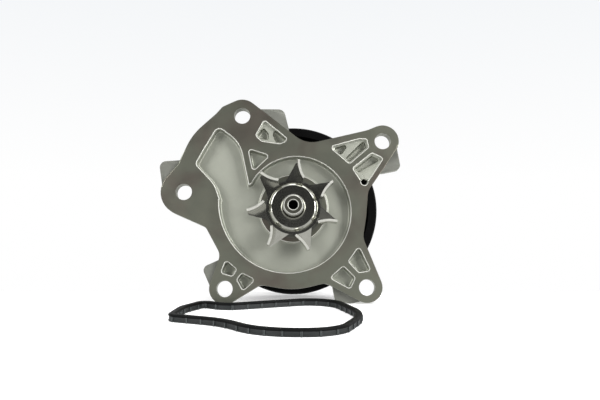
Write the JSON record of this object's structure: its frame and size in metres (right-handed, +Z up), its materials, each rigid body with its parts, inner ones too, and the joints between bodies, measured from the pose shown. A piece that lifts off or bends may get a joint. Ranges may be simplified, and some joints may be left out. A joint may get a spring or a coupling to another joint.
{
  "type": "water pump",
  "caption": "Engine coolant pump: die-cast flange with volute recess, open vane impeller, sealed shaft bearing, grooved belt pulley and a loose moulded housing gasket.",
  "frame": {"origin": "on the shaft axis, in the plane of the machined mounting face", "axes": "+Y along the shaft axis from the mounting face towards the pulley, +Z up, +X to the right as seen from the impeller side"},
  "size_m": [0.1342, 0.1541, 0.1275],
  "materials": {
    "cast_aluminium": "die cast, machined mounting face",
    "moulded_plastic": "moulded",
    "bearing_steel": "ground",
    "ground_steel": "ground",
    "cage_polymer": "moulded",
    "pressed_steel": "pressed sheet, smooth",
    "seal_case_steel": "drawn",
    "black_rubber": "moulded",
    "seal_carbon": "lapped carbon",
    "seal_ceramic": "lapped silicon carbide",
    "hub_steel": "turned",
    "black_coat": "black electro-coat",
    "gasket_rubber": "moulded"
  },
  "bodies": {
    "housing": {"pump_body": "cast_aluminium", "weep_cap": "moulded_plastic", "bearing_outer_ring": "bearing_steel", "front_bearing_seal": "black_rubber", "rear_bearing_seal": "black_rubber", "seal_case": "seal_case_steel", "seal_bellows": "black_rubber", "seal_spring": "bearing_steel", "seal_carbon_ring": "seal_carbon"},
    "rotor": {"pump_shaft": "ground_steel", "impeller": "pressed_steel", "seal_mating_ring": "seal_ceramic", "mating_ring_boot": "black_rubber", "slinger": "pressed_steel", "pulley_hub": "hub_steel", "pulley": "black_coat"},
    "ball_set": {"front_balls": "bearing_steel", "front_ball_cage": "cage_polymer"},
    "roller_set": {"rear_rollers": "bearing_steel", "rear_roller_cage": "cage_polymer"},
    "gasket": {"housing_gasket": "gasket_rubber"}
  },
  "joints": [
    {"name": "shaft_spin", "type": "hinge", "parent": "housing", "child": "rotor", "pos_m": [0, 0.02, 0], "axis": [0, 1, 0], "continuous": true},
    {"name": "ball_set_orbit", "type": "hinge", "parent": "housing", "child": "ball_set", "pos_m": [0, 0.026, 0], "axis": [0, 1, 0], "continuous": true},
    {"name": "roller_set_orbit", "type": "hinge", "parent": "housing", "child": "roller_set", "pos_m": [0, 0.0385, 0], "axis": [0, 1, 0], "continuous": true},
    {"name": "gasket_slide", "type": "slide", "parent": "housing", "child": "gasket", "axis": [0, -0.9903, -0.1392], "range_m": [0, 0.06]}
  ],
  "couplings": [
    {"joint": "ball_set_orbit", "follows": "shaft_spin", "ratio": 0.3612},
    {"joint": "roller_set_orbit", "follows": "shaft_spin", "ratio": 0.3852}
  ]
}
